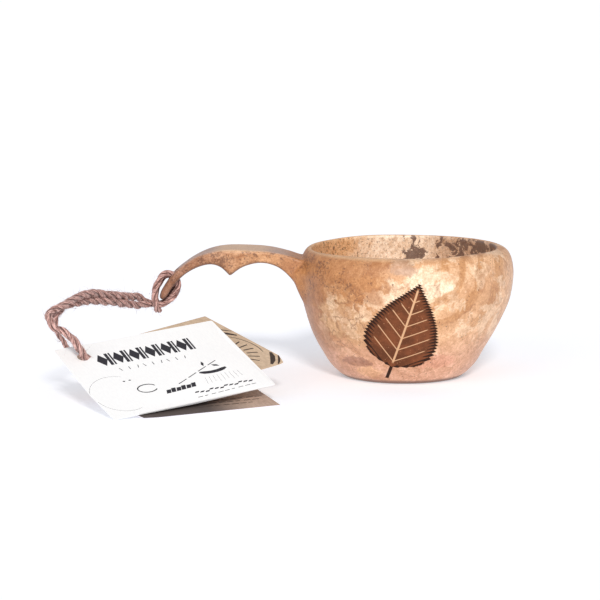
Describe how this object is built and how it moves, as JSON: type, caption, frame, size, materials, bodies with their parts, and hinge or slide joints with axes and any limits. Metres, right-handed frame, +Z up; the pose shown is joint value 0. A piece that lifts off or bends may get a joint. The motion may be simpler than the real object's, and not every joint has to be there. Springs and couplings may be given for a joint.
{
  "type": "wooden drinking cup with handle",
  "caption": "Carved wooden cup with a rounded bowl, an arched thumb-notch handle with an eye, and a hitched twine loop carrying paper tags.",
  "frame": {"origin": "centre of the cup's flat base, on the surface the cup stands on", "axes": "+Z up through the bowl; -X along the handle, from the bowl towards the eye; +Y completes the right-handed frame, so the tags lie on the -Y side"},
  "size_m": [0.2173, 0.1777, 0.062],
  "materials": {
    "burl_wood": "satin, oiled burl figure",
    "jute_twine": "matt, hairy two-ply twist",
    "white_card": "matt coated card",
    "kraft_card": "matt uncoated kraft card"
  },
  "bodies": {
    "cup": {"cup_body": "burl_wood"},
    "hitch": {"cord_eye_loop": "jute_twine"},
    "run": {"cord_run_upper": "jute_twine", "cord_run_lower": "jute_twine"},
    "reach": {"cord_reach_upper": "jute_twine", "cord_reach_lower": "jute_twine"},
    "tag_loop": {"cord_tag_loop": "jute_twine"},
    "white_tag": {"tag_white": "white_card"},
    "kraft_tag": {"tag_kraft": "kraft_card"},
    "leaf_tag": {"tag_leaf": "kraft_card"}
  },
  "joints": [
    {"name": "hitch_rock", "type": "hinge", "parent": "cup", "child": "hitch", "pos_m": [-0.1085, 0, 0.0469], "axis": [0, 1, 0], "range_deg": [-12, 3]},
    {"name": "run_lift", "type": "hinge", "parent": "hitch", "child": "run", "pos_m": [-0.1217, 0, 0.0346], "axis": [0, 1, 0], "range_deg": [-40, 30]},
    {"name": "reach_sway", "type": "hinge", "parent": "run", "child": "reach", "pos_m": [-0.13845, -0.02785, 0.04], "axis": [0, 0, 1], "range_deg": [-30, 30]},
    {"name": "loop_bend", "type": "hinge", "parent": "reach", "child": "tag_loop", "pos_m": [-0.1608, -0.0775, 0.0368], "axis": [0, 1, 0], "range_deg": [-30, 25]},
    {"name": "white_tag_swing", "type": "hinge", "parent": "tag_loop", "child": "white_tag", "pos_m": [-0.1472, -0.0821, 0.0226], "axis": [0.1543, -0.3898, 0.9079], "range_deg": [-15, 30]},
    {"name": "kraft_tag_swing", "type": "hinge", "parent": "tag_loop", "child": "kraft_tag", "pos_m": [-0.141, -0.0777, 0.0156], "axis": [0.1543, -0.3898, 0.9079], "range_deg": [-15, 12]},
    {"name": "leaf_tag_swing", "type": "hinge", "parent": "tag_loop", "child": "leaf_tag", "pos_m": [-0.1393, -0.0765, 0.0095], "axis": [0.1543, -0.3898, 0.9079], "range_deg": [-7, 20]}
  ]
}
